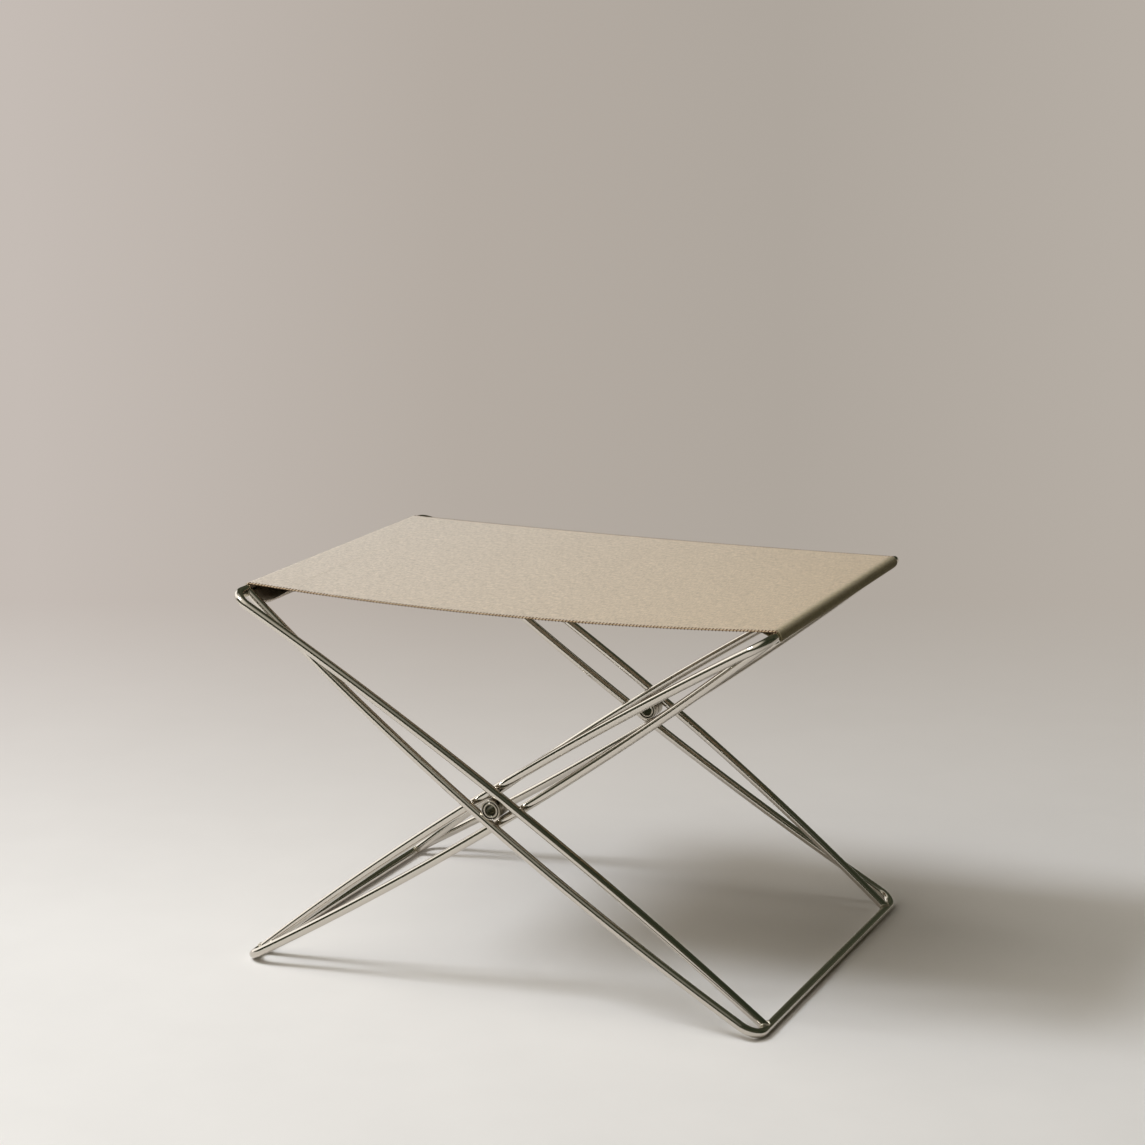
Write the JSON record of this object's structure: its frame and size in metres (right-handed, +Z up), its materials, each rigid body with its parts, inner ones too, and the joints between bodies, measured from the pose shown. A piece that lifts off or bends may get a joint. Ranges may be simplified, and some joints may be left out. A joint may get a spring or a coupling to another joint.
{
  "type": "folding stool",
  "caption": "Low folding stool: two crossed frames of bent steel rod turn on bushed side pivots and carry a sling seat of canvas between their top rails.",
  "frame": {"origin": "on the floor, under the middle of the open stool", "axes": "+Z up, X across the stool from one rail to the other with the outer frame's top rail at -X, Y along the rails and the pivot axis with the front at -Y"},
  "size_m": [0.5724, 0.4528, 0.3952],
  "materials": {
    "rod_steel": "satin drawn stainless rod",
    "weld_steel": "dressed and polished weld",
    "turned_steel": "turned stainless",
    "washer_nylon": "dark moulded nylon",
    "canvas": "plain-woven natural cotton canvas"
  },
  "bodies": {
    "outer_frame": {"outer_upper_rod": "rod_steel", "outer_lower_rod": "rod_steel", "outer_upper_weld_front": "weld_steel", "outer_upper_weld_back": "weld_steel", "outer_lower_weld_front": "weld_steel", "outer_lower_weld_back": "weld_steel", "outer_bush_front": "turned_steel", "outer_bush_back": "turned_steel", "pivot_rivet_front": "turned_steel", "pivot_rivet_back": "turned_steel", "pivot_washer_front": "washer_nylon", "pivot_washer_back": "washer_nylon", "canvas_wrap_outer": "canvas", "canvas_seat": "canvas"},
    "inner_frame": {"inner_upper_rod": "rod_steel", "inner_lower_rod": "rod_steel", "inner_upper_weld_front": "weld_steel", "inner_upper_weld_back": "weld_steel", "inner_lower_weld_front": "weld_steel", "inner_lower_weld_back": "weld_steel", "inner_bush_front": "turned_steel", "inner_bush_back": "turned_steel", "canvas_wrap_inner": "canvas"}
  },
  "joints": [
    {"name": "fold", "type": "hinge", "parent": "outer_frame", "child": "inner_frame", "pos_m": [0, 0, 0.19683], "axis": [0, -1, 0], "range_deg": [0, 101.5], "deforming": ["canvas_seat"]}
  ]
}
